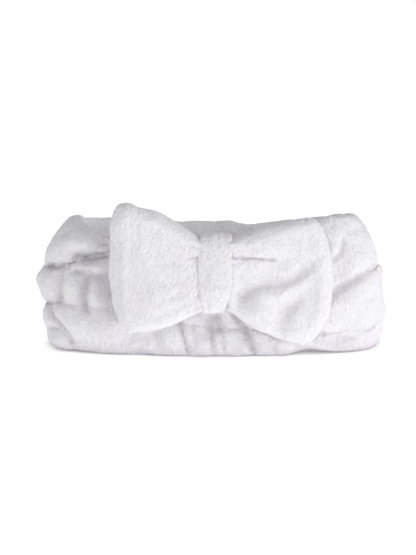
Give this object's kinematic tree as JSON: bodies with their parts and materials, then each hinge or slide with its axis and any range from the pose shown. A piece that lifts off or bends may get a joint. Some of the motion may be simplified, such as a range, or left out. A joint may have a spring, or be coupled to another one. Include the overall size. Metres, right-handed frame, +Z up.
{
  "type": "spa headband",
  "caption": "Soft white stretch headband: a ruched fleece tube over an elastic loop, with a padded two-winged bow and a wrapped knot on its front.",
  "frame": {"origin": "on the surface the band stands on, below the middle of the overall bounding box", "axes": "+X across the forehead towards the viewer's right when facing the bow, -Y out of the bow side, +Z up as the band stands on its lower edge and as it is worn"},
  "size_m": [0.2286, 0.1129, 0.1059],
  "materials": {
    "fleece": "deep matte pile",
    "elastic": "woven matte",
    "thread": "matte"
  },
  "bodies": {
    "front": {"front_cover": "fleece", "front_elastic": "elastic", "front_upper_stitch_row": "thread", "front_lower_stitch_row": "thread", "front_long_seam": "thread", "knot_wrap": "fleece", "knot_closing_seam": "thread", "bow_centre": "fleece", "gathering_thread": "thread", "bow_tack_stitches": "thread"},
    "back": {"back_cover": "fleece", "back_elastic": "elastic", "back_upper_stitch_row": "thread", "back_lower_stitch_row": "thread", "back_long_seam": "thread", "cover_closing_seam": "thread", "elastic_lap_stitches": "thread"},
    "left_bow_wing": {"left_wing": "fleece", "left_wing_seam": "thread"},
    "right_bow_wing": {"right_wing": "fleece", "right_wing_seam": "thread"}
  },
  "joints": [
    {"name": "band_stretch", "type": "slide", "parent": "front", "child": "back", "axis": [0, 1, 0], "range_m": [0, 0.07], "stiffness_N_per_m": 50},
    {"name": "left_wing_fold", "type": "hinge", "parent": "front", "child": "left_bow_wing", "pos_m": [-0.0159, -0.0433, 0.06], "axis": [0, 0, 1], "range_deg": [-12, 55], "stiffness_Nm_per_rad": 0.012},
    {"name": "right_wing_fold", "type": "hinge", "parent": "front", "child": "right_bow_wing", "pos_m": [0.0199, -0.0433, 0.06], "axis": [0, 0, -1], "range_deg": [-3, 55], "stiffness_Nm_per_rad": 0.012}
  ]
}
